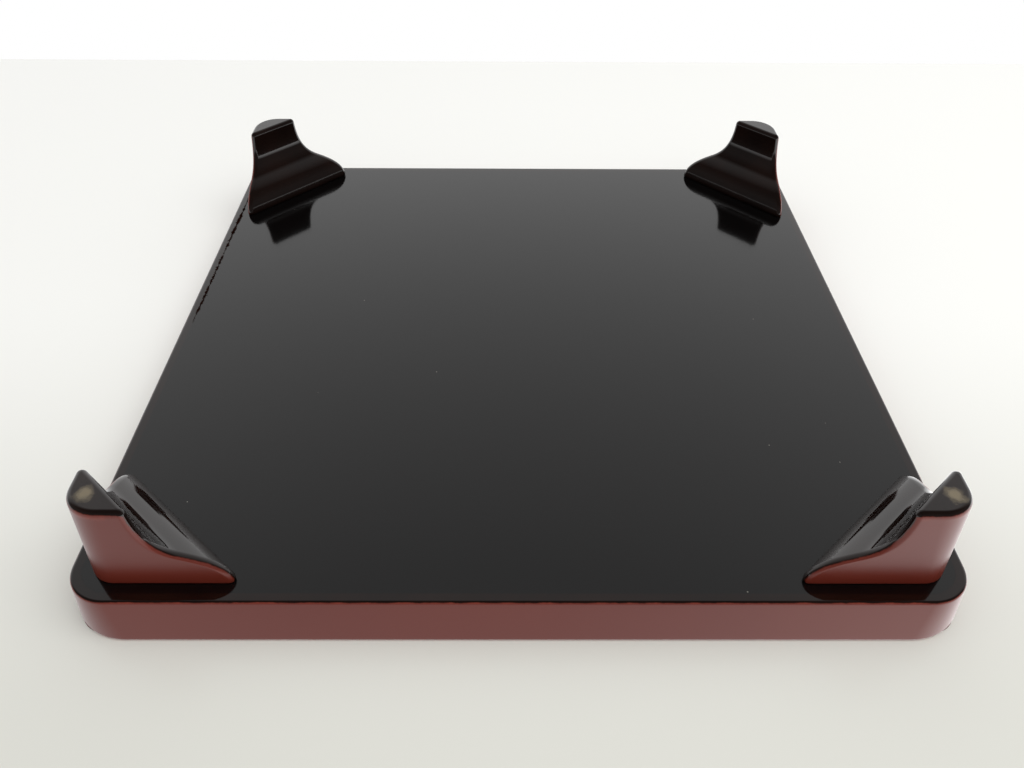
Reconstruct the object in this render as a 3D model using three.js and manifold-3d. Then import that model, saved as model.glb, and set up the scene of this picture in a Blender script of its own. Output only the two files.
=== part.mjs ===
// A square lacquered meal tray on four short corner legs.
// Millimetres, +Z up. The origin is on the floor under the tray's centre, and the tray stands on its feet.
import * as THREE from 'three';
import { mergeVertices } from 'three/addons/utils/BufferGeometryUtils.js';
import Module from 'manifold-3d';

const wasm = await Module();
wasm.setup();

// Driving dimensions of the tray
const lipSide = 364; // outer side of the rim at its lip
const rimFlare = 3; // how far each rim wall leans outward from base to lip
const rimHeight = 21;
const baseCornerRadius = 18; // outer corner of the rim at its base
const lipCornerRadius = 26; // outer corner of the rim at its lip
const wallAtBase = 4.6; // the joint line on the underside lies this far in from the edge
const wallAtLip = 4.6;
const wellCornerRadius = 14; // inner corner of the well, and the board's own corner
const boardThickness = 8.5;

// Driving dimensions of the legs
const legHeight = 41;
const legFace = 61.5; // length of a leg's outer faces under the board, before the tip is rounded
const footFace = 28; // length of a leg's outer faces at the foot
const legInset = 9; // from the rim's base edge to a leg's outer face
const legCornerRadius = 11;
const legTipRadius = 1.2;
const waistFace = 43.5; // outer face length where the hollow curve meets the shoulder
const waistHeight = 25.8;
const shoulderBand = 1.5; // upright band along the top of a leg's inner face

// Driving dimensions of the hidden joinery
const legDowelRadius = 2.5;
const legDowelInBoard = 5.5;
const legDowelInLeg = 14;
const legDowelNear = 10; // from a leg's outer face to the nearer dowel axis
const legDowelFar = 22;
const pegRadius = 1.5;
const pegInRim = 2.8;
const pegInBoard = 14;
const pegSpacing = 180; // between the two pegs of one side
const keyLength = 10; // along the corner, across the mitre
const keyWidth = 1.8;
const keyThickness = 2.4;
const keyAboveBoard = 3;
const keyDepth = 1.2; // from the rim's outer corner to the key
const fitGap = 0.3; // clearance round hidden pieces and at the mitres

// Places worked out from the driving dimensions
const baseHalf = lipSide / 2 - rimFlare;
const lipHalf = lipSide / 2;
const lipHeight = legHeight + rimHeight;
const boardHalf = baseHalf - wallAtBase;
const boardTop = legHeight + boardThickness;
const wellLipHalf = lipHalf - wallAtLip;
const legCorner = baseHalf - legInset;
const shoulderHeight = legHeight - shoulderBand;
const cornerSigns = [[1, 1], [-1, 1], [-1, -1], [1, -1]];
const cornerNames = ['back_right', 'back_left', 'front_left', 'front_right'];
const sideNames = ['right', 'back', 'left', 'front'];
const arcSteps = 10;
const roundSides = 20;

// Materials
const redLacquer = new THREE.MeshStandardMaterial({ color: 0x7a443c, roughness: 0.18, metalness: 0 });
const blackLacquer = new THREE.MeshStandardMaterial({ color: 0x0f0c0b, roughness: 0.08, metalness: 0 });
const bareWood = new THREE.MeshStandardMaterial({ color: 0xc9a77a, roughness: 0.7, metalness: 0 });

// A closed three.js geometry as a solid that can be joined and cut
function solid(geometry) {
  const plain = geometry.clone();
  plain.deleteAttribute('normal');
  plain.deleteAttribute('uv');
  const merged = mergeVertices(plain, 1e-4);
  const vertProperties = new Float32Array(merged.attributes.position.array);
  const triVerts = new Uint32Array(merged.index.array);
  return new wasm.Manifold(new wasm.Mesh({ numProp: 3, vertProperties, triVerts }));
}

// A cut solid as a three.js geometry with flat facets
function geometryOf(body) {
  const mesh = body.getMesh();
  const geometry = new THREE.BufferGeometry();
  geometry.setAttribute('position', new THREE.BufferAttribute(new Float32Array(mesh.vertProperties), 3));
  geometry.setIndex(new THREE.BufferAttribute(new Uint32Array(mesh.triVerts), 1));
  geometry.computeVertexNormals();
  return geometry;
}

// A ring of points round a square with rounded corners, anticlockwise
function roundedSquare(half, radius) {
  const points = [];
  cornerSigns.forEach(([sx, sy], quarter) => {
    for (let step = 0; step <= arcSteps; step += 1) {
      const angle = (quarter + step / arcSteps) * Math.PI / 2;
      points.push([sx * (half - radius) + radius * Math.cos(angle), sy * (half - radius) + radius * Math.sin(angle)]);
    }
  });
  return points;
}

// A solid between two rings with the same number of points, each on its own level
function loft(lowRing, lowZ, highRing, highZ) {
  const count = lowRing.length;
  const positions = [];
  lowRing.forEach(([x, y]) => positions.push(x, y, lowZ));
  highRing.forEach(([x, y]) => positions.push(x, y, highZ));
  positions.push(0, 0, lowZ, 0, 0, highZ);
  const index = [];
  for (let i = 0; i < count; i += 1) {
    const next = (i + 1) % count;
    index.push(i, next, count + next, i, count + next, count + i);
    index.push(2 * count, next, i, 2 * count + 1, count + i, count + next);
  }
  const geometry = new THREE.BufferGeometry();
  geometry.setAttribute('position', new THREE.Float32BufferAttribute(positions, 3));
  geometry.setIndex(index);
  return solid(geometry);
}

// A prism with the given outline from lowZ to highZ
function prism(points, lowZ, highZ) {
  const shape = new THREE.Shape(points.map(([x, y]) => new THREE.Vector2(x, y)));
  const geometry = new THREE.ExtrudeGeometry(shape, { depth: highZ - lowZ, bevelEnabled: false });
  return solid(geometry.translate(0, 0, lowZ));
}

// The rim as one ring: flared outside, rounded well inside, with a seat for the board
function rimRing() {
  const over = 1; // how far a cut runs past the face that it opens
  const wellGrow = (wellLipHalf - boardHalf) / (lipHeight - boardTop);
  const outer = loft(
    roundedSquare(baseHalf, baseCornerRadius), legHeight,
    roundedSquare(lipHalf, lipCornerRadius), lipHeight,
  );
  const well = loft(
    roundedSquare(boardHalf - over * wellGrow, wellCornerRadius), boardTop - over,
    roundedSquare(wellLipHalf + over * wellGrow, wellCornerRadius), lipHeight + over,
  );
  const outline = roundedSquare(boardHalf, wellCornerRadius);
  const seat = loft(outline, legHeight - over, outline, boardTop);
  return outer.subtract(well).subtract(seat);
}

// A key lies across each mitre; the same form with clearance cuts its slot
function keyAt(turn, clearance) {
  const level = boardTop + keyAboveBoard;
  const climb = (level - legHeight) / rimHeight;
  const half = baseHalf + rimFlare * climb;
  const radius = baseCornerRadius + (lipCornerRadius - baseCornerRadius) * climb;
  const outerCorner = half * Math.SQRT2 - radius * (Math.SQRT2 - 1);
  const radial = outerCorner - keyDepth - keyWidth / 2;
  const geometry = new THREE.BoxGeometry(
    keyWidth + 2 * clearance, keyLength + 2 * clearance, keyThickness + 2 * clearance,
  );
  geometry.translate(radial, 0, level + keyThickness / 2);
  return solid(geometry.rotateZ(turn));
}

// A round bar along +X that is centred at x and y, on the right-hand side, then turned to its side
function pegAt(side, offset, clearance) {
  const length = pegInRim + pegInBoard + 2 * clearance;
  const geometry = new THREE.CylinderGeometry(pegRadius + clearance, pegRadius + clearance, length, roundSides);
  geometry.rotateZ(Math.PI / 2);
  geometry.translate(boardHalf + (pegInRim - pegInBoard) / 2, offset, legHeight + boardThickness / 2);
  return solid(geometry.rotateZ(side * Math.PI / 2));
}

function legDowelAt([sx, sy], fromX, fromY, clearance) {
  const length = legDowelInBoard + legDowelInLeg + 2 * clearance;
  const radius = legDowelRadius + clearance;
  const geometry = new THREE.CylinderGeometry(radius, radius, length, roundSides);
  geometry.rotateX(Math.PI / 2);
  geometry.translate(
    sx * (legCorner - fromX), sy * (legCorner - fromY), legHeight + (legDowelInBoard - legDowelInLeg) / 2,
  );
  return solid(geometry);
}

// One leg: a right-angled triangle in plan, with an ogee inner face that runs along its long side
function legSolid() {
  const plan = new THREE.Shape();
  const tipBack = legTipRadius / Math.tan(Math.PI / 8);
  const slant = tipBack * Math.SQRT1_2;
  plan.moveTo(-legCornerRadius, 0);
  plan.lineTo(-legFace + tipBack, 0);
  plan.quadraticCurveTo(-legFace, 0, -legFace + slant, -slant);
  plan.lineTo(-slant, -legFace + slant);
  plan.quadraticCurveTo(0, -legFace, 0, -legFace + tipBack);
  plan.lineTo(0, -legCornerRadius);
  plan.absarc(-legCornerRadius, -legCornerRadius, legCornerRadius, 0, Math.PI / 2, false);
  const upright = solid(new THREE.ExtrudeGeometry(plan, {
    depth: legHeight, bevelEnabled: false, curveSegments: arcSteps,
  }));
  // The profile's x is measured inward on the diagonal, and its y is height
  const diagonal = (face) => face * Math.SQRT1_2;
  const profile = new THREE.Shape();
  const outside = -legFace;
  profile.moveTo(outside, 0);
  profile.lineTo(diagonal(footFace), 0);
  profile.bezierCurveTo(
    diagonal(footFace + 1.2), waistHeight * 0.5, diagonal(footFace + 4), waistHeight * 0.85,
    diagonal(waistFace), waistHeight,
  );
  profile.bezierCurveTo(
    diagonal(waistFace + 7), waistHeight + 2.6, diagonal(legFace - 2), waistHeight + 5.8,
    diagonal(legFace), shoulderHeight,
  );
  profile.lineTo(diagonal(legFace), legHeight);
  profile.lineTo(outside, legHeight);
  const sweep = new THREE.ExtrudeGeometry(profile, {
    depth: 4 * legFace, bevelEnabled: false, curveSegments: 2 * arcSteps,
  });
  sweep.translate(0, 0, -2 * legFace);
  sweep.rotateX(Math.PI / 2);
  sweep.rotateZ(-3 * Math.PI / 4);
  return upright.intersect(solid(sweep));
}

const tray = new THREE.Group();

function addPiece(name, body, material) {
  const mesh = new THREE.Mesh(geometryOf(body), material);
  mesh.name = name;
  tray.add(mesh);
}

// Dowel places on a leg, as distances in from its two outer faces
const legDowelPlaces = [[legDowelNear, legDowelFar], [legDowelFar, legDowelNear]];
const pegOffsets = [-pegSpacing / 2, pegSpacing / 2];

// Base board, bored for the leg dowels and the rim pegs
const boardOutline = roundedSquare(boardHalf, wellCornerRadius);
let board = loft(boardOutline, legHeight, boardOutline, boardTop);
cornerSigns.forEach((signs) => legDowelPlaces.forEach(([fromX, fromY]) => {
  board = board.subtract(legDowelAt(signs, fromX, fromY, fitGap));
}));
sideNames.forEach((_, side) => pegOffsets.forEach((offset) => {
  board = board.subtract(pegAt(side, offset, fitGap));
}));
addPiece('base_board', board, blackLacquer);

// Four mitred rim rails, cut from the ring by a wedge for each side
const ring = rimRing();
const reach = 2 * lipSide;
const wedge = [[fitGap / Math.SQRT2, 0], [reach, reach - fitGap / Math.SQRT2], [reach, fitGap / Math.SQRT2 - reach]];
sideNames.forEach((sideName, side) => {
  const turn = side * Math.PI / 2;
  const turned = wedge.map(([x, y]) => [
    x * Math.cos(turn) - y * Math.sin(turn), x * Math.sin(turn) + y * Math.cos(turn),
  ]);
  let rail = ring.intersect(prism([turned[0], turned[2], turned[1]], 0, 2 * lipHeight));
  [turn - Math.PI / 4, turn + Math.PI / 4].forEach((keyTurn) => {
    rail = rail.subtract(keyAt(keyTurn, fitGap));
  });
  pegOffsets.forEach((offset) => {
    rail = rail.subtract(pegAt(side, offset, fitGap));
  });
  addPiece(`rim_${sideName}`, rail, redLacquer);
});

// Legs, their dowels, the mitre keys and the rim pegs
cornerSigns.forEach(([sx, sy], corner) => {
  const cornerName = cornerNames[corner];
  let leg = legSolid().rotate([0, 0, corner * 90]).translate([sx * legCorner, sy * legCorner, 0]);
  legDowelPlaces.forEach(([fromX, fromY], number) => {
    leg = leg.subtract(legDowelAt([sx, sy], fromX, fromY, fitGap));
    addPiece(`leg_dowel_${cornerName}_${number + 1}`, legDowelAt([sx, sy], fromX, fromY, 0), bareWood);
  });
  addPiece(`leg_${cornerName}`, leg, blackLacquer);
  addPiece(`mitre_key_${cornerName}`, keyAt((corner + 0.5) * Math.PI / 2, 0), bareWood);
});
sideNames.forEach((sideName, side) => pegOffsets.forEach((offset, number) => {
  addPiece(`rim_peg_${sideName}_${number + 1}`, pegAt(side, offset, 0), bareWood);
}));

export default tray;
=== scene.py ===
import math
import bpy
import numpy as np
from mathutils import Matrix, Vector


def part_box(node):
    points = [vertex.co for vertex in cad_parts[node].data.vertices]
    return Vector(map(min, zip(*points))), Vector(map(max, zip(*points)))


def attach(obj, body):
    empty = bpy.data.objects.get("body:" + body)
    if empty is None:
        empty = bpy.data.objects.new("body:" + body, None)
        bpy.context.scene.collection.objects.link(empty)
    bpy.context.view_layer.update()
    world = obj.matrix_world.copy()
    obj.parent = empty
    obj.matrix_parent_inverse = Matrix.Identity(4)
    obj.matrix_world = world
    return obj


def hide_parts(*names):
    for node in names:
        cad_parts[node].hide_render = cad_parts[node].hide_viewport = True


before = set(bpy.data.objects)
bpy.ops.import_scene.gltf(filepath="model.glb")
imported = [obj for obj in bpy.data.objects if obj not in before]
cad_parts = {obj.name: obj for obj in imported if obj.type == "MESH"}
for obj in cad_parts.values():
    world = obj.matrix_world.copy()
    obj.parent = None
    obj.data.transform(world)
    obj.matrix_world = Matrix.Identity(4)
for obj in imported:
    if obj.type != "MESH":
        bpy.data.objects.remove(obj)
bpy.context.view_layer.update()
MM = 0.001

# Places taken from the frame's own pieces, in metres
RIM_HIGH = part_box("rim_right")[1]
BOARD_LOW, BOARD_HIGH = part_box("base_board")
LEG_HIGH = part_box("leg_back_right")[1]
LIP_HALF = RIM_HIGH[0]
LIP_Z = RIM_HIGH[2]
UNDERSIDE_Z = BOARD_LOW[2]
BED_Z = BOARD_HIGH[2]
BOARD_HALF = BOARD_HIGH[0]
LEG_CORNER = LEG_HIGH[0]

# Sizes of the rim, and the angle in degrees at which its arcs give way to the leaning inner wall
RIM_FLARE = 3 * MM
BASE_HALF = LIP_HALF - RIM_FLARE
WALL_AT_LIP = 4.6 * MM
INNER_WALL_ANGLE = 15
BASE_CORNER_RADIUS = 18 * MM
LIP_CORNER_RADIUS = 26 * MM
WELL_CORNER_RADIUS = 14 * MM
ARRIS_RADIUS = 1.5 * MM
LIP_ROUND = 1.3 * MM
COVE_RADIUS = 3 * MM
COVE_INSET = 0.7 * COVE_RADIUS

# Sizes of a leg, whose face lengths are measured along the outer side from the sharp corner
LEG_FACE = 61.5 * MM
FOOT_FACE = 28 * MM
WAIST_FACE = 43.5 * MM
WAIST_HEIGHT = 25.8 * MM
SHOULDER_HEIGHT = 39.5 * MM
LEG_CORNER_RADIUS = 11 * MM
FOOT_CORNER_RADIUS = 14.5 * MM
LEG_TIP_RADIUS = 2.3 * MM
LEAST_TIP_RADIUS = 0.3 * MM
FOOT_ROUND = 2.5 * MM
LEG_BASE_ROUND = 0.7 * MM

# A leg's inner profile: (face length, height) of the ends and the handles of its two cubic curves
HOLLOW_CURVE = (
    (FOOT_FACE, 0), (FOOT_FACE + 1.2 * MM, 0.5 * WAIST_HEIGHT),
    (FOOT_FACE + 4 * MM, 0.85 * WAIST_HEIGHT), (WAIST_FACE, WAIST_HEIGHT),
)
SWELL_CURVE = (
    (WAIST_FACE, WAIST_HEIGHT), (WAIST_FACE + 7 * MM, WAIST_HEIGHT + 2.6 * MM),
    (LEG_FACE - 2 * MM, WAIST_HEIGHT + 5.8 * MM), (LEG_FACE, SHOULDER_HEIGHT),
)

# The legs: name, side along X and Y, share of the full length kept along each, and lean at the foot
BACK_TRIM = (0.93, 0.98)
BACK_LEAN = 2.4 * MM
FRONT_TRIM = (1.0, 0.94)
FRONT_LEAN = 0.5 * MM
LEGS = (
    ("back_right", 1, 1, BACK_TRIM, BACK_LEAN),
    ("back_left", -1, 1, BACK_TRIM, BACK_LEAN),
    ("front_left", -1, -1, FRONT_TRIM, FRONT_LEAN),
    ("front_right", 1, -1, FRONT_TRIM, FRONT_LEAN),
)

# Points along one arc of the rim's profile, along a leg's curve, and round a corner and a side of the rim
ARC_STEPS = 7
CURVE_STEPS = 400
CORNER_STEPS = 24
SIDE_STEPS = 24

# The angle in degrees between two faces over which their edge is sharp
SHARP_ANGLE = 40

# A name that ends in PER_MM counts a pattern's cells in a millimetre; over MM it is the pattern's scale.

# Sockets of a Mix node, where they share their names: two numbers, two colours, and the colour it gives
NUMBER_A, NUMBER_B, COLOUR_A, COLOUR_B = 2, 3, 6, 7
MIXED_COLOUR = 2

# Both lacquers: the red-brown's two shades and its clouds, black's reflectance, the refractive index
RED_DARK = "#581d14"
RED_LIGHT = "#682a1e"
CLOUDS_PER_MM = 0.009
BLACK_GLOSS = 0.5
LACQUER_IOR = 1.5


def linear(hex_colour):
    """An sRGB hex colour as linear red, green and blue, and an alpha of 1.

    A channel over 0.04045 is raised by 0.055, divided by 1.055 and taken to the power 2.4; a darker
    one is divided by 12.92.
    """
    channels = [int(hex_colour[i:i + 2], 16) / 255 for i in (1, 3, 5)]
    return [c / 12.92 if c <= 0.04045 else ((c + 0.055) / 1.055) ** 2.4 for c in channels] + [1.0]


def node(tree, kind, links=None, sockets=None, **settings):
    """Adds a node, sets its properties and sockets, and links its inputs; returns the node."""
    made = tree.nodes.new(kind)
    for name, value in settings.items():
        setattr(made, name, value)
    for name, value in (sockets or {}).items():
        made.inputs[name].default_value = value
    for name, source in (links or {}).items():
        tree.links.new(source, made.inputs[name])
    return made


def new_material(name):
    """An empty node material; returns it, its tree and its output node."""
    material = bpy.data.materials.new(name)
    material.use_nodes = True
    material.node_tree.nodes.clear()
    return material, material.node_tree, node(material.node_tree, "ShaderNodeOutputMaterial")


def arc(centre, radius, start, end):
    """Points of a circular arc in the profile's plane, with angles in degrees."""
    angle = np.radians(np.linspace(start, end, ARC_STEPS))
    return np.stack([centre[0] + radius * np.cos(angle), centre[1] + radius * np.sin(angle)], axis=1)


def cubic_curve(ends_and_handles):
    """Points of a cubic curve: its ends and handles, weighted at each share t along it.

    The weights are (1 - t) cubed, 3 t times (1 - t) squared, 3 (1 - t) times t squared, and t cubed.
    """
    share = np.linspace(0, 1, CURVE_STEPS)[:, None]
    rest = 1 - share
    weights = np.hstack([rest ** 3, 3 * rest ** 2 * share, 3 * rest * share ** 2, share ** 3])
    return weights @ np.array(ends_and_handles)


def rounded_square(half, radius):
    """Points round a square whose half side and corner radius are arrays over v.

    Quarter turns of an arc of the given radius about (half - radius, half - radius), each followed
    by a straight run to the next arc. Returns x and y arrays of shape (v, u), anticlockwise.
    """
    half = half[:, None]
    radius = radius[:, None]
    angle = np.linspace(0, math.pi / 2, CORNER_STEPS)[None, :]
    arc_x = half - radius + radius * np.cos(angle)
    arc_y = half - radius + radius * np.sin(angle)
    share = np.linspace(0, 1, SIDE_STEPS + 2)[1:-1][None, :]
    run_x = arc_x[:, -1:] * (1 - 2 * share)
    run_y = np.repeat(arc_y[:, -1:], SIDE_STEPS, axis=1)
    quarter_x = np.concatenate([arc_x, run_x], axis=1)
    quarter_y = np.concatenate([arc_y, run_y], axis=1)
    x = np.concatenate([quarter_x, -quarter_y, -quarter_x, quarter_y], axis=1)
    y = np.concatenate([quarter_y, quarter_x, -quarter_y, -quarter_x], axis=1)
    return x, y


def grid_quads(rows, columns, close_rows=False):
    """Quads between neighbouring points of a (rows, columns) grid that closes round its columns."""
    row = np.arange(rows if close_rows else rows - 1)[:, None]
    column = np.arange(columns)[None, :]
    next_row = (row + 1) % rows
    next_column = (column + 1) % columns
    corners = [row * columns + column, row * columns + next_column,
               next_row * columns + next_column, next_row * columns + column]
    return np.stack(corners, axis=-1).reshape(-1, 4)


def mesh_piece(name, points, quads, caps, attributes, material):
    """A smooth mesh object at the origin from a point array, an array of quads and loose caps.

    An edge is sharp where its faces turn by over SHARP_ANGLE. Elsewhere large faces lead the normals.
    """
    faces = [tuple(corners) for corners in quads] + [tuple(corners) for corners in caps]
    mesh = bpy.data.meshes.new(name)
    mesh.from_pydata(points.tolist(), [], faces)
    for key, values in attributes.items():
        layer = mesh.attributes.new(key, "FLOAT", "POINT")
        layer.data.foreach_set("value", values.astype(np.float32))
    mesh.polygons.foreach_set("use_smooth", np.ones(len(faces), dtype=bool))
    mesh.validate()
    mesh.update()
    mesh.set_sharp_from_angle(angle=math.radians(SHARP_ANGLE))
    mesh.materials.append(material)
    piece = bpy.data.objects.new(name, mesh)
    bpy.context.scene.collection.objects.link(piece)
    even = piece.modifiers.new("flat_faces_stay_flat", "WEIGHTED_NORMAL")
    even.keep_sharp = True
    return piece


# The chipped joint of the board and the right-hand rail: its ends along Y, its wander and its width
CRACK_END = 136 * MM
CRACK_FADE_START = 22 * MM
CRACK_FADE_END = -2 * MM
CRACK_SWING = 4.2 * MM
CRACK_LEAST = 0.2 * MM
CRACK_MOST = 1.1 * MM
CRACK_REACH_UP = 1 * MM
SPLINTERS_PER_MM = 0.7
WIDENINGS_PER_MM = 0.11
NARROW_NOISE = 0.38
WIDE_NOISE = 0.62


def crack_mask(tree, place):
    """1 where the lacquer has chipped off the joint of board and right-hand rail, on the underside.

    The distance from the joint line, moved by fine noise, is compared with a width that coarser noise
    sets from 0.2 to 1.1 mm on each side, and the crack dies out towards the front.
    """
    split = node(tree, "ShaderNodeSeparateXYZ", {0: place}).outputs
    fine = node(tree, "ShaderNodeTexNoise", {"Vector": place},
                {"Scale": SPLINTERS_PER_MM / MM, "Detail": 5.0, "Roughness": 0.8})
    coarse = node(tree, "ShaderNodeTexNoise", {"Vector": place},
                  {"Scale": WIDENINGS_PER_MM / MM, "Detail": 3.0})
    moved = node(tree, "ShaderNodeMath", {0: fine.outputs["Fac"], 2: split["X"]}, {1: CRACK_SWING},
                 operation="MULTIPLY_ADD")
    away = node(tree, "ShaderNodeMath", {0: moved.outputs[0]}, {1: BOARD_HALF + CRACK_SWING / 2},
                operation="SUBTRACT")
    distance = node(tree, "ShaderNodeMath", {0: away.outputs[0]}, operation="ABSOLUTE")
    fade = node(tree, "ShaderNodeMapRange", {"Value": split["Y"]},
                {"From Min": CRACK_FADE_END, "From Max": CRACK_FADE_START})
    width = node(tree, "ShaderNodeMapRange", {"Value": coarse.outputs["Fac"]},
                 {"From Min": NARROW_NOISE, "From Max": WIDE_NOISE, "To Min": CRACK_LEAST,
                  "To Max": CRACK_MOST})
    faded = node(tree, "ShaderNodeMath", {0: width.outputs[0], 1: fade.outputs[0]}, operation="MULTIPLY")
    inside = node(tree, "ShaderNodeMath", {0: distance.outputs[0], 1: faded.outputs[0]},
                  operation="LESS_THAN")
    before_end = node(tree, "ShaderNodeMath", {0: split["Y"]}, {1: CRACK_END}, operation="LESS_THAN")
    below = node(tree, "ShaderNodeMath", {0: split["Z"]}, {1: UNDERSIDE_Z + CRACK_REACH_UP},
                 operation="LESS_THAN")
    placed = node(tree, "ShaderNodeMath", {0: inside.outputs[0], 1: before_end.outputs[0]},
                  operation="MULTIPLY")
    mask = node(tree, "ShaderNodeMath", {0: placed.outputs[0], 1: below.outputs[0]}, operation="MULTIPLY")
    return mask.outputs[0]


# The worn spot of a front foot, by its distances from the leg's outer faces
WORN_SPOT = (LEG_CORNER - 8.5 * MM, LEG_CORNER - 10.5 * MM, 0.0)
WORN_SWING = 9 * MM
WORN_EDGE = 0.4 * MM
WORN_CORE = -3.2 * MM
WORN_STRENGTH = 0.7
WORN_DEPTH = 0.25 * MM
BLOTCHES_PER_MM = 0.15


def foot_wear(tree, place):
    """Over 0 on the patch of each front foot where the lacquer has worn thin over the wood.

    It is the distance from a spot near the foot's outer corner, less noise times 9 mm, which fades
    the patch out from about 1 mm to about 5 mm away from the spot.
    """
    mirrored = node(tree, "ShaderNodeVectorMath", {0: place}, operation="ABSOLUTE")
    away = node(tree, "ShaderNodeVectorMath", {0: mirrored.outputs[0]}, {1: WORN_SPOT}, operation="DISTANCE")
    blotch = node(tree, "ShaderNodeTexNoise", {"Vector": place},
                  {"Scale": BLOTCHES_PER_MM / MM, "Detail": 3.0})
    reach = node(tree, "ShaderNodeMath", {0: blotch.outputs["Fac"], 2: away.outputs["Value"]},
                 {1: -WORN_SWING}, operation="MULTIPLY_ADD")
    patch = node(tree, "ShaderNodeMapRange", {"Value": reach.outputs[0]},
                 {"From Min": WORN_EDGE, "From Max": WORN_CORE, "To Max": WORN_STRENGTH})
    split = node(tree, "ShaderNodeSeparateXYZ", {0: place}).outputs
    low = node(tree, "ShaderNodeMath", {0: split["Z"]}, {1: WORN_DEPTH}, operation="LESS_THAN")
    front = node(tree, "ShaderNodeMath", {0: split["Y"]}, {1: 0.0}, operation="LESS_THAN")
    both = node(tree, "ShaderNodeMath", {0: low.outputs[0], 1: front.outputs[0]}, operation="MULTIPLY")
    mask = node(tree, "ShaderNodeMath", {0: patch.outputs[0], 1: both.outputs[0]}, operation="MULTIPLY")
    return mask.outputs[0]


# Colours under the lacquer, and how dull they are
CRACK_DARK = "#030202"
CRACK_BROWN = "#23100b"
FIBRES_PER_MM = 0.6
WORN_WOOD = "#857961"
WORN_ROUGHNESS = 0.6


def add_wear(tree, place, colour, rough):
    """Lays the crack and the worn feet over a colour and a roughness.

    Returns the new pair, and 0 where the crack takes all gloss away and 1 elsewhere.
    """
    crack = crack_mask(tree, place)
    worn = foot_wear(tree, place)
    fibre = node(tree, "ShaderNodeTexNoise", {"Vector": place}, {"Scale": FIBRES_PER_MM / MM, "Detail": 2.0})
    raw = node(tree, "ShaderNodeMix", {"Factor": fibre.outputs["Fac"]},
               {COLOUR_A: linear(CRACK_DARK), COLOUR_B: linear(CRACK_BROWN)}, data_type="RGBA")
    cracked = node(tree, "ShaderNodeMix",
                   {"Factor": crack, COLOUR_A: colour, COLOUR_B: raw.outputs[MIXED_COLOUR]}, data_type="RGBA")
    bare = node(tree, "ShaderNodeMix", {"Factor": worn, COLOUR_A: cracked.outputs[MIXED_COLOUR]},
                {COLOUR_B: linear(WORN_WOOD)}, data_type="RGBA")
    either = node(tree, "ShaderNodeMath", {0: crack, 1: worn}, operation="MAXIMUM")
    dull = node(tree, "ShaderNodeMapRange", {"Value": either.outputs[0], "To Min": rough},
                {"To Max": WORN_ROUGHNESS})
    gloss_left = node(tree, "ShaderNodeMath", {1: crack}, {0: 1.0}, operation="SUBTRACT")
    return bare.outputs[MIXED_COLOUR], dull.outputs[0], gloss_left.outputs[0]


def cloudy_red(tree, place):
    """The red-brown coat's colour, which drifts between two shades as a hand-brushed coat does."""
    cloud = node(tree, "ShaderNodeTexNoise", {"Vector": place}, {"Scale": CLOUDS_PER_MM / MM, "Detail": 3.0})
    red = node(tree, "ShaderNodeMix", {"Factor": cloud.outputs["Fac"]},
               {COLOUR_A: linear(RED_DARK), COLOUR_B: linear(RED_LIGHT)}, data_type="RGBA")
    return red.outputs[MIXED_COLOUR]


# The brushed lacquer's faint ripple
RIPPLES_PER_MM = 0.035
RIPPLE_DEPTH = 0.4 * MM
RIPPLE_STRENGTH = 0.012


def lacquer_shader(tree, output, place, colour, rough, gloss):
    """Ends a lacquer in its shader, over a ripple too faint to see but in long reflections."""
    ripple = node(tree, "ShaderNodeTexNoise", {"Vector": place},
                  {"Scale": RIPPLES_PER_MM / MM, "Detail": 1.0})
    bump = node(tree, "ShaderNodeBump", {"Height": ripple.outputs["Fac"]},
                {"Strength": RIPPLE_STRENGTH, "Distance": RIPPLE_DEPTH})
    shader = node(tree, "ShaderNodeBsdfPrincipled",
                  {"Base Color": colour, "Roughness": rough, "Normal": bump.outputs[0],
                   "Specular IOR Level": gloss}, {"IOR": LACQUER_IOR})
    tree.links.new(shader.outputs[0], output.inputs[0])


# Two-tone lacquer: its colours, how ragged the line between them is, and where the lighter red starts, which
# is rubbed wear on arrises and a painted highlight on the legs' base edges
BLACK_DEEP = "#050303"
BLACK_BROWN = "#1c0e09"
STREAKS_PER_MM = 0.045
CHIPS_PER_MM = 0.14
CHIP_MIDDLE = 0.5
CHIP_SWING = 0.5
ALL_BLACK = 0.42
ALL_RED = 0.58
RUB_AND_HIGHLIGHT_STARTS = 0.3
RUB_AND_HIGHLIGHT_FULL = 0.62
# Lighter red of rubbed arrises, also used as a painted highlight along the legs' base edges
RED_RUBBED_AND_HIGHLIGHT = "#7d3325"
BLACK_ROUGHNESS = 0.06
RED_ROUGHNESS = 0.33
RED_GLOSS = 0.36


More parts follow.
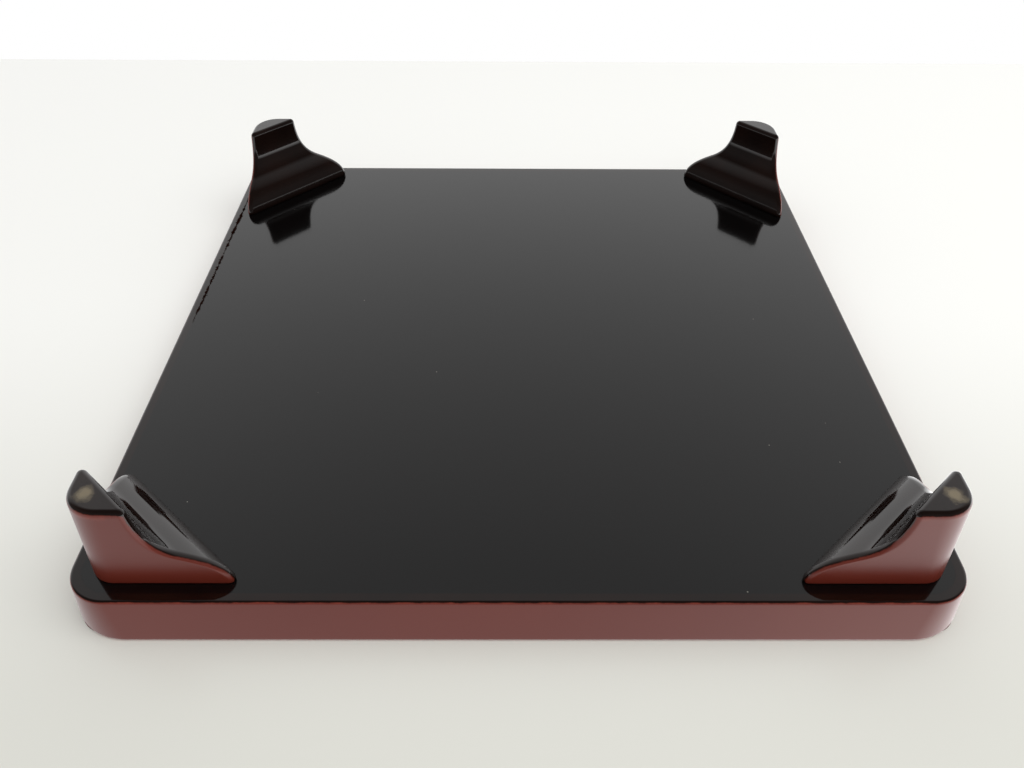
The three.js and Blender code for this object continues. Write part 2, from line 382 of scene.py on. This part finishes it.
def two_tone_lacquer():
    """Two-tone lacquer on wood: polished black, and red-brown brushed over a lighter red.

    Black takes crisp reflections and has faint brown streaks. The red-brown coat is less polished,
    and it is translucent, so it pales and warms on arrises where it was rubbed thin; the same lighter
    red along a leg's base edge against the board is a painted highlight. The attribute tone is 0 on
    black and 1 on red-brown, noise moves the line between them, and the attribute rub_and_highlight
    is highest on an arris and on a leg's base edge.
    """
    material, tree, output = new_material("two_tone_lacquer")
    place = node(tree, "ShaderNodeTexCoord").outputs["Object"]
    tone = node(tree, "ShaderNodeAttribute", attribute_name="tone").outputs["Fac"]
    rub_and_highlight = node(tree, "ShaderNodeAttribute", attribute_name="rub_and_highlight").outputs["Fac"]
    streaks = node(tree, "ShaderNodeTexNoise", {"Vector": place},
                   {"Scale": STREAKS_PER_MM / MM, "Detail": 3.0})
    black = node(tree, "ShaderNodeMix", {"Factor": streaks.outputs["Fac"]},
                 {COLOUR_A: linear(BLACK_DEEP), COLOUR_B: linear(BLACK_BROWN)}, data_type="RGBA")
    chips = node(tree, "ShaderNodeTexNoise", {"Vector": place},
                 {"Scale": CHIPS_PER_MM / MM, "Detail": 4.0, "Roughness": 0.6})
    shifted = node(tree, "ShaderNodeMath", {0: chips.outputs["Fac"]}, {1: CHIP_MIDDLE},
                   operation="SUBTRACT")
    ragged = node(tree, "ShaderNodeMath", {0: shifted.outputs[0], 2: tone}, {1: CHIP_SWING},
                  operation="MULTIPLY_ADD")
    is_red = node(tree, "ShaderNodeMapRange", {"Value": ragged.outputs[0]},
                  {"From Min": ALL_BLACK, "From Max": ALL_RED})
    # Lighter red: rubbed wear on arrises, and a painted highlight along each leg's base edge
    worn = node(tree, "ShaderNodeMath", {0: rub_and_highlight, 1: chips.outputs["Fac"]}, operation="MULTIPLY")
    rubbed_and_highlight_mask = node(tree, "ShaderNodeMapRange", {"Value": worn.outputs[0]},
                     {"From Min": RUB_AND_HIGHLIGHT_STARTS, "From Max": RUB_AND_HIGHLIGHT_FULL})
    warm = node(tree, "ShaderNodeMix", {"Factor": rubbed_and_highlight_mask.outputs[0], COLOUR_A: cloudy_red(tree, place)},
                {COLOUR_B: linear(RED_RUBBED_AND_HIGHLIGHT)}, data_type="RGBA")
    colour = node(tree, "ShaderNodeMix",
                  {"Factor": is_red.outputs[0], COLOUR_A: black.outputs[MIXED_COLOUR],
                   COLOUR_B: warm.outputs[MIXED_COLOUR]}, data_type="RGBA")
    rough = node(tree, "ShaderNodeMapRange", {"Value": is_red.outputs[0]},
                 {"To Min": BLACK_ROUGHNESS, "To Max": RED_ROUGHNESS})
    gloss = node(tree, "ShaderNodeMapRange", {"Value": is_red.outputs[0]},
                 {"To Min": BLACK_GLOSS, "To Max": RED_GLOSS})
    final_colour, final_rough, gloss_left = add_wear(
        tree, place, colour.outputs[MIXED_COLOUR], rough.outputs[0])
    final_gloss = node(tree, "ShaderNodeMath", {0: gloss.outputs[0], 1: gloss_left}, operation="MULTIPLY")
    lacquer_shader(tree, output, place, final_colour, final_rough, final_gloss.outputs[0])
    return material


# The board's lacquer, its haze and its dust, with a grain's radius as a share of its cell
BOARD_BLACK = "#060505"
HAZES_PER_MM = 0.012
CLEAR_ROUGHNESS = 0.05
HAZY_ROUGHNESS = 0.11
DUST_GREY = "#6b6862"
DUST_CELLS_PER_MM = 0.07
DUST_RADIUS = 0.022
DUST_ABSENT = 0.7


def board_lacquer():
    """The board: black lacquer below, red-brown on the bed, told apart by height, with a few dust grains.

    A dust grain is the middle of a cell about 14 mm wide, and three cells in ten have one.
    """
    material, tree, output = new_material("board_lacquer")
    place = node(tree, "ShaderNodeTexCoord").outputs["Object"]
    height = node(tree, "ShaderNodeSeparateXYZ", {0: place}).outputs["Z"]
    is_bed = node(tree, "ShaderNodeMath", {0: height}, {1: (UNDERSIDE_Z + BED_Z) / 2},
                  operation="GREATER_THAN")
    colour = node(tree, "ShaderNodeMix", {"Factor": is_bed.outputs[0], COLOUR_B: cloudy_red(tree, place)},
                  {COLOUR_A: linear(BOARD_BLACK)}, data_type="RGBA")
    haze = node(tree, "ShaderNodeTexNoise", {"Vector": place}, {"Scale": HAZES_PER_MM / MM, "Detail": 5.0})
    rough = node(tree, "ShaderNodeMapRange", {"Value": haze.outputs["Fac"]},
                 {"To Min": CLEAR_ROUGHNESS, "To Max": HAZY_ROUGHNESS})
    final_colour, final_rough, gloss_left = add_wear(
        tree, place, colour.outputs[MIXED_COLOUR], rough.outputs[0])
    cell = node(tree, "ShaderNodeTexVoronoi", {"Vector": place}, {"Scale": DUST_CELLS_PER_MM / MM})
    middle = node(tree, "ShaderNodeMath", {0: cell.outputs["Distance"]}, {1: DUST_RADIUS},
                  operation="LESS_THAN")
    chance = node(tree, "ShaderNodeSeparateXYZ", {0: cell.outputs["Color"]}).outputs["X"]
    chosen = node(tree, "ShaderNodeMath", {0: chance}, {1: DUST_ABSENT}, operation="GREATER_THAN")
    dust = node(tree, "ShaderNodeMath", {0: middle.outputs[0], 1: chosen.outputs[0]}, operation="MULTIPLY")
    dusty = node(tree, "ShaderNodeMix", {"Factor": dust.outputs[0], COLOUR_A: final_colour},
                 {COLOUR_B: linear(DUST_GREY)}, data_type="RGBA")
    final_gloss = node(tree, "ShaderNodeMath", {0: gloss_left}, {1: BLACK_GLOSS}, operation="MULTIPLY")
    lacquer_shader(tree, output, place, dusty.outputs[MIXED_COLOUR], final_rough, final_gloss.outputs[0])
    return material


# Softwood; its grain repeats once in pi / 10 of a cell of the pattern, which is 1.57 mm
WOOD_PALE = "#c9a77a"
WOOD_DARK = "#a98257"
GRAIN_CELLS_PER_MM = 0.2
WOOD_ROUGHNESS = 0.7


def bare_softwood():
    """Unfinished softwood of the hidden joinery, with grain lines about 1.6 mm apart and no shine."""
    material, tree, output = new_material("bare_softwood")
    place = node(tree, "ShaderNodeTexCoord").outputs["Object"]
    grain = node(tree, "ShaderNodeTexWave", {"Vector": place},
                 {"Scale": GRAIN_CELLS_PER_MM / MM, "Distortion": 3.0})
    colour = node(tree, "ShaderNodeMix", {"Factor": grain.outputs["Fac"]},
                  {COLOUR_A: linear(WOOD_PALE), COLOUR_B: linear(WOOD_DARK)}, data_type="RGBA")
    shader = node(tree, "ShaderNodeBsdfPrincipled", {"Base Color": colour.outputs[MIXED_COLOUR]},
                  {"Roughness": WOOD_ROUGHNESS})
    tree.links.new(shader.outputs[0], output.inputs[0])
    return material


# Rows of the rim's outer wall, and the rows either side of the lip's crest that hands have rubbed
WALL_ROWS = 10
CREST_ROWS_OUTSIDE = 4
CREST_ROWS_INSIDE = 3
CREST_RUB = 0.6
ARRIS_RUB_START = 0.2


def rim_piece(material):
    """The rim: a profile of half side, corner radius and height, carried round a rounded square.

    The profile starts at the joint on the underside, turns over the arris, climbs the flared wall,
    turns over the round lip, comes down the leaning inner wall and ends in a cove on the bed. The
    corner radius grows with height from base to lip, and is the well's own from the lip inwards.
    """
    wall_angle = math.degrees(math.atan2(RIM_FLARE, LIP_Z - UNDERSIDE_Z))
    inner_half = LIP_HALF - WALL_AT_LIP
    arris = arc((BASE_HALF - ARRIS_RADIUS, UNDERSIDE_Z + ARRIS_RADIUS), ARRIS_RADIUS, -90, -wall_angle)
    lip_outer = arc((LIP_HALF - LIP_ROUND, LIP_Z - LIP_ROUND), LIP_ROUND, -wall_angle, 90)
    lip_inner = arc((inner_half + LIP_ROUND, LIP_Z - LIP_ROUND), LIP_ROUND, 90, 180 - INNER_WALL_ANGLE)
    cove = arc((BOARD_HALF - COVE_INSET, BED_Z + COVE_RADIUS), COVE_RADIUS, -INNER_WALL_ANGLE, -90)
    wall = np.linspace(arris[-1], lip_outer[0], WALL_ROWS + 2)[1:-1]
    profile = np.concatenate([
        [[BOARD_HALF, UNDERSIDE_Z]], arris, wall, lip_outer, lip_inner, cove, [[BOARD_HALF, BED_Z]],
    ])
    half = profile[:, 0]
    level = profile[:, 1]
    arris_rows = slice(1, 1 + len(arris))
    first_inner = 1 + len(arris) + len(wall) + len(lip_outer)
    climb = np.clip((level - UNDERSIDE_Z) / (LIP_Z - UNDERSIDE_Z), 0, 1)
    radius = BASE_CORNER_RADIUS + (LIP_CORNER_RADIUS - BASE_CORNER_RADIUS) * climb
    radius[arris_rows] -= BASE_HALF - half[arris_rows]
    radius[first_inner:] = WELL_CORNER_RADIUS
    radius[0] = WELL_CORNER_RADIUS
    x, y = rounded_square(half, radius)
    rows, columns = x.shape
    z = np.repeat(level[:, None], columns, axis=1)
    points = np.stack([x, y, z], axis=-1).reshape(-1, 3)
    tone = np.ones(rows)
    tone[0] = 0.0
    tone[arris_rows] = np.linspace(0, 1, len(arris))
    rub_and_highlight = np.zeros(rows)
    rub_and_highlight[arris_rows] = np.sin(np.linspace(ARRIS_RUB_START, 1, len(arris)) * math.pi)
    rub_and_highlight[first_inner - CREST_ROWS_OUTSIDE:first_inner + CREST_ROWS_INSIDE] = CREST_RUB
    attributes = {"tone": np.repeat(tone, columns), "rub_and_highlight": np.repeat(rub_and_highlight, columns)}
    return mesh_piece("rim", points, grid_quads(rows, columns, close_rows=True), (), attributes, material)


def face_length(height):
    """The leg's outer face length at each height: upright foot, hollow curve, shoulder, upright top.

    Two cubic curves in (length, height) are sampled finely and read back as length over height.
    """
    curve = np.concatenate([cubic_curve(HOLLOW_CURVE), cubic_curve(SWELL_CURVE)[1:]])
    return np.interp(height, curve[:, 1], curve[:, 0])


# Points round a leg, on its outer corner, on each of its three flat runs and on each tip
CORNER_POINTS = 16
RUN_POINTS = 12
TIP_POINTS = 12


def leg_outline(length, corner, tip):
    """A right-angled triangle with rounded corners at each height; its sharp outer corner is at (0, 0).

    An arc of radius corner, a run along one face, an arc of radius tip that ends square to the slope,
    a run down the slope, and the mirror image of the tip and the run about the diagonal.
    """
    length, corner, tip = length[:, None], corner[:, None], tip[:, None]
    corner_angle = np.linspace(0, math.pi / 2, CORNER_POINTS)[None, :]
    corner_x = -corner + corner * np.cos(corner_angle)
    corner_y = -corner + corner * np.sin(corner_angle)
    tip_angle = np.linspace(math.pi / 2, math.pi * 5 / 4, TIP_POINTS)[None, :]
    tip_x = -length + tip / math.tan(math.pi / 8) + tip * np.cos(tip_angle)
    tip_y = -tip + tip * np.sin(tip_angle)
    share = np.linspace(0, 1, RUN_POINTS + 2)[None, 1:-1]
    face_x = corner_x[:, -1:] * (1 - share) + tip_x[:, :1] * share
    face_y = np.zeros_like(face_x)
    slope_x = tip_x[:, -1:] * (1 - share) + tip_y[:, -1:] * share
    slope_y = tip_y[:, -1:] * (1 - share) + tip_x[:, -1:] * share
    x = np.concatenate([corner_x, face_x, tip_x, slope_x, tip_y[:, ::-1], face_y], axis=1)
    y = np.concatenate([corner_y, face_y, tip_y, slope_y, tip_x[:, ::-1], face_x[:, ::-1]], axis=1)
    return x, y


# A leg's rows over its height, the tone of its slope, the rubbing of its foot, and the painted highlight
# along its base edge
ROUND_ROWS = 7
MIDDLE_ROWS = 88
SLOPE_TONE = -0.2
FOOT_RUB = 0.8
# How far down from the board the painted highlight along a leg's base edge reaches
BASE_HIGHLIGHT_HEIGHT = 1.2 * MM


def leg_piece(name, sign_x, sign_y, trim, lean, material):
    """A leg: at each height a right-angled triangle with rounded corners, stacked from foot to board.

    The triangle's equal sides are face_length(height). Near the foot and the board the whole outline
    draws in by a quarter circle, which rounds the edge. The outer faces lean in at the foot by the
    lean, and trim shortens the leg along X and Y. Tone falls from 1 on the outer faces to below 0 on
    the slope, with the line between the colours in the first half of each tip. The attribute
    rub_and_highlight is highest at the foot's arris, where it is rubbed wear, and against the board,
    where it is a painted highlight along the base edge.
    """
    turn = np.linspace(0, math.pi / 2, ROUND_ROWS)
    foot_heights = FOOT_ROUND * (1 - np.cos(turn))
    foot_draw = FOOT_ROUND * (1 - np.sin(turn))
    base_heights = UNDERSIDE_Z - LEG_BASE_ROUND * (1 - np.sin(turn))
    base_draw = LEG_BASE_ROUND * (1 - np.cos(turn))
    middle_heights = np.linspace(FOOT_ROUND, base_heights[0], MIDDLE_ROWS + 2)[1:-1]
    heights = np.concatenate([foot_heights, middle_heights, base_heights])
    draw = np.concatenate([foot_draw, np.zeros(MIDDLE_ROWS), base_draw])
    rise = heights / UNDERSIDE_Z
    length = face_length(heights) - draw * (2 + math.sqrt(2))
    corner = FOOT_CORNER_RADIUS + (LEG_CORNER_RADIUS - FOOT_CORNER_RADIUS) * rise - draw
    tip = np.maximum(LEG_TIP_RADIUS - draw, LEAST_TIP_RADIUS)
    x, y = leg_outline(length, corner, tip)
    rows, columns = x.shape
    inset = (draw + lean * (1 - rise))[:, None]
    z = np.repeat(heights[:, None], columns, axis=1)
    from_corner_x = LEG_CORNER - inset + trim[0] * x
    from_corner_y = LEG_CORNER - inset + trim[1] * y
    points = np.stack([sign_x * from_corner_x, sign_y * from_corner_y, z], axis=-1).reshape(-1, 3)
    to_slope = np.linspace(1, SLOPE_TONE, TIP_POINTS)
    round_tone = np.concatenate([
        np.ones(CORNER_POINTS + RUN_POINTS), to_slope, np.full(RUN_POINTS, SLOPE_TONE), to_slope[::-1],
        np.ones(RUN_POINTS),
    ])
    tone = np.outer(np.clip(heights / FOOT_ROUND, 0, 1), round_tone)
    rub_and_highlight = FOOT_RUB * np.clip(1 - np.abs(heights - FOOT_ROUND) / (2 * FOOT_ROUND), 0, 1)
    # Painted highlight: the lighter red along the leg's base edge against the board
    rub_and_highlight += np.clip(1 - (UNDERSIDE_Z - heights) / BASE_HIGHLIGHT_HEIGHT, 0, 1)
    attributes = {"tone": tone.ravel(), "rub_and_highlight": np.repeat(rub_and_highlight, columns)}
    quads = grid_quads(rows, columns)
    bottom = np.arange(columns)[::-1]
    top = np.arange(columns) + (rows - 1) * columns
    if sign_x * sign_y < 0:
        quads, bottom, top = quads[:, ::-1], bottom[::-1], top[::-1]
    return mesh_piece(name, points, quads, (bottom, top), attributes, material)


# The stage sheets: their half side, the table's back edge, and the band along Y where their painted shade
# changes
SHEET_HALF = 30.0
TABLE_BACK = 0.43
PAINTED_SHADE_FRONT = -0.26
PAINTED_SHADE_BACK = 0.06
# Painted shade: each sheet's darker colour at the front, and the paler colour both share at the back
FLOOR_NEAR_SHADED = "#f0f0ec"
TABLE_NEAR_SHADED = "#dcdcd4"
SHEET_FAR_LIT = "#f7f7f3"
SHEET_ROUGHNESS = 0.25


def stage_plane(name, level, faces_up, far_edge, near_shaded_colour):
    """A one-sided sheet seen only by the camera and only from its front, so it never shades the tray.

    Its colour is painted shade: darker towards the front and paler towards the back, as light falls on a
    white table under a window.
    """
    material, tree, output = new_material(name)
    path = node(tree, "ShaderNodeLightPath").outputs["Is Camera Ray"]
    back = node(tree, "ShaderNodeNewGeometry").outputs["Backfacing"]
    front = node(tree, "ShaderNodeMath", {1: back}, {0: 1.0}, operation="SUBTRACT")
    seen = node(tree, "ShaderNodeMath", {0: front.outputs[0], 1: path}, operation="MULTIPLY")
    clear = node(tree, "ShaderNodeBsdfTransparent")
    place = node(tree, "ShaderNodeTexCoord").outputs["Object"]
    depth = node(tree, "ShaderNodeSeparateXYZ", {0: place}).outputs["Y"]
    share = node(tree, "ShaderNodeMapRange", {"Value": depth},
                 {"From Min": PAINTED_SHADE_FRONT, "From Max": PAINTED_SHADE_BACK}, interpolation_type="SMOOTHSTEP")
    # Painted shade: darker towards the front, paler towards the back
    painted_shade = node(tree, "ShaderNodeMix", {"Factor": share.outputs[0]},
                 {COLOUR_A: linear(near_shaded_colour), COLOUR_B: linear(SHEET_FAR_LIT)}, data_type="RGBA")
    matt = node(tree, "ShaderNodeBsdfPrincipled", {"Base Color": painted_shade.outputs[MIXED_COLOUR]},
                {"Roughness": SHEET_ROUGHNESS})
    mix = node(tree, "ShaderNodeMixShader", {0: seen.outputs[0], 1: clear.outputs[0], 2: matt.outputs[0]})
    tree.links.new(mix.outputs[0], output.inputs[0])
    corners = [(-SHEET_HALF, -SHEET_HALF, level), (SHEET_HALF, -SHEET_HALF, level),
               (SHEET_HALF, far_edge, level), (-SHEET_HALF, far_edge, level)]
    mesh = bpy.data.meshes.new(name)
    mesh.from_pydata(corners, [], [(0, 1, 2, 3) if faces_up else (3, 2, 1, 0)])
    mesh.materials.append(material)
    plane = bpy.data.objects.new(name, mesh)
    bpy.context.scene.collection.objects.link(plane)


# The lamps: name, place in metres, side of the square in metres and power in watts; and what they point at
LAMPS = (
    ("lamp_above", (-1.1, -0.7, 1.5), 2.0, 10),
    ("lamp_below", (-0.7, -0.5, -1.5), 1.6, 14),
)
LAMP_TARGET = Vector((0, 0, 40 * MM))


def add_lamp(name, place, size, power):
    """A square soft lamp that points at the middle of the tray and is not seen in reflections."""
    data = bpy.data.lights.new(name, "AREA")
    data.size = size
    data.energy = power
    lamp = bpy.data.objects.new(name, data)
    lamp.location = place
    towards = LAMP_TARGET - Vector(place)
    lamp.rotation_euler = towards.to_track_quat("-Z", "Y").to_euler()
    lamp.visible_glossy = False
    bpy.context.scene.collection.objects.link(lamp)


# The camera, as fitted to the underside's straight edges in the photograph with the tray upside down
PITCH = 0.714378
YAW = 0.008924
ROLL = 0.008178
FOCAL_PIXELS = 876.07
PHOTO_WIDTH = 1024
FIT_SCALE = 0.9917
CAMERA_PLACE = np.array([-5.7146, -381.6687, 287.2823]) * MM * FIT_SCALE
SENSOR_WIDTH = 36.0
CLIP_START = 10 * MM


def add_camera():
    """The photograph's camera, below the tray and looking up at its underside.

    Its angles are in radians. Its place is from the middle of the underside, scaled from the size that
    the tray had in the fit. Its axes and place have X and Z reversed, which turns them over with the tray.
    """
    turn_over = np.array([-1.0, 1.0, -1.0])
    forward = np.array([math.sin(YAW) * math.cos(PITCH), math.cos(YAW) * math.cos(PITCH), -math.sin(PITCH)])
    right = np.array([math.cos(YAW), -math.sin(YAW), 0.0])
    up = np.cross(right, forward)
    rolled_right = math.cos(ROLL) * right + math.sin(ROLL) * up
    rolled_up = math.cos(ROLL) * up - math.sin(ROLL) * right
    turned = np.eye(4)
    turned[:3, 0] = rolled_right * turn_over
    turned[:3, 1] = rolled_up * turn_over
    turned[:3, 2] = -forward * turn_over
    turned[:3, 3] = CAMERA_PLACE * turn_over
    turned[2, 3] += UNDERSIDE_Z
    data = bpy.data.cameras.new("camera")
    data.sensor_fit = "HORIZONTAL"
    data.sensor_width = SENSOR_WIDTH
    data.lens = SENSOR_WIDTH * FOCAL_PIXELS / PHOTO_WIDTH
    data.clip_start = CLIP_START
    camera = bpy.data.objects.new("camera", data)
    camera.matrix_world = Matrix(turned.tolist())
    bpy.context.scene.collection.objects.link(camera)
    bpy.context.scene.camera = camera


# Strengths of the world's light: even, and as gloss reflects it from low and from steep directions
EVEN_LIGHT = 0.74
LOW_GLOW = 1.2
STEEP_GLOW = 0.55

# The share of that glow left in the dark room below the tray, and the window's share above it
ROOM_SHARE = 0.12
WINDOW_SHARE = 1.9

# The parts of a direction along Z, Y and X where the ramps between those strengths start and end
LOW_Z = -0.44
STEEP_Z = -0.8
ROOM_Y = 0.12
FAR_Y = 0.5
WINDOW_X = -0.5
HORIZON_BLEND = 0.05


def set_world():
    """Even pale light all round, and a white background to the camera.

    What gloss reflects from below is brightest low on the far side, dims to about half as it steepens,
    and is dark straight down, to the sides and behind the camera, as a room is round a window-lit
    table. What it reflects from above is nearly twice as bright on the -X side. Each of these is a
    ramp over one part of the direction, and their values are multiplied.
    """
    world = bpy.data.worlds.new("studio")
    world.use_nodes = True
    tree = world.node_tree
    tree.nodes.clear()
    direction = node(tree, "ShaderNodeTexCoord").outputs["Generated"]
    split = node(tree, "ShaderNodeSeparateXYZ", {0: direction}).outputs
    steep = node(tree, "ShaderNodeMapRange", {"Value": split["Z"]},
                 {"From Min": LOW_Z, "From Max": STEEP_Z, "To Min": LOW_GLOW, "To Max": STEEP_GLOW})
    side = node(tree, "ShaderNodeMapRange", {"Value": split["Y"]},
                {"From Min": ROOM_Y, "From Max": FAR_Y, "To Min": ROOM_SHARE, "To Max": 1.0})
    below = node(tree, "ShaderNodeMapRange", {"Value": split["Z"]},
                 {"From Min": HORIZON_BLEND, "From Max": -HORIZON_BLEND})
    window = node(tree, "ShaderNodeMapRange", {"Value": split["X"]},
                  {"From Min": 0.0, "From Max": WINDOW_X, "To Min": 1.0, "To Max": WINDOW_SHARE})
    shaded = node(tree, "ShaderNodeMix",
                  {"Factor": below.outputs[0], NUMBER_A: window.outputs[0], NUMBER_B: side.outputs[0]})
    mirrored = node(tree, "ShaderNodeMath", {0: steep.outputs[0], 1: shaded.outputs[0]},
                    operation="MULTIPLY")
    path = node(tree, "ShaderNodeLightPath").outputs
    gloss = node(tree, "ShaderNodeMix", {"Factor": path["Is Glossy Ray"], NUMBER_B: mirrored.outputs[0]},
                 {NUMBER_A: EVEN_LIGHT})
    strength = node(tree, "ShaderNodeMix", {"Factor": path["Is Camera Ray"], NUMBER_A: gloss.outputs[0]},
                    {NUMBER_B: 1.0})
    light = node(tree, "ShaderNodeBackground", {"Strength": strength.outputs[0]}, {"Color": (1, 1, 1, 1)})
    output = node(tree, "ShaderNodeOutputWorld")
    tree.links.new(light.outputs[0], output.inputs[0])
    bpy.context.scene.world = world


two_tone = two_tone_lacquer()
board_finish = board_lacquer()
wood = bare_softwood()

add_camera()
set_world()
stage_plane("floor", 0.0, True, SHEET_HALF, FLOOR_NEAR_SHADED)
stage_plane("table", LIP_Z, False, TABLE_BACK, TABLE_NEAR_SHADED)
for name, place, size, power in LAMPS:
    add_lamp(name, place, size, power)

rim = rim_piece(two_tone)
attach(rim, "root")
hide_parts("rim_front", "rim_back", "rim_left", "rim_right")

for corner_name, sign_x, sign_y, trim, lean in LEGS:
    leg = leg_piece("lacquered_leg_" + corner_name, sign_x, sign_y, trim, lean, two_tone)
    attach(leg, "root")
    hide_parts("leg_" + corner_name)

for node_name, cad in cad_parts.items():
    finish = board_finish if node_name == "base_board" else wood
    for slot in cad.material_slots:
        slot.material = finish

bpy.context.scene.view_settings.view_transform = "Standard"
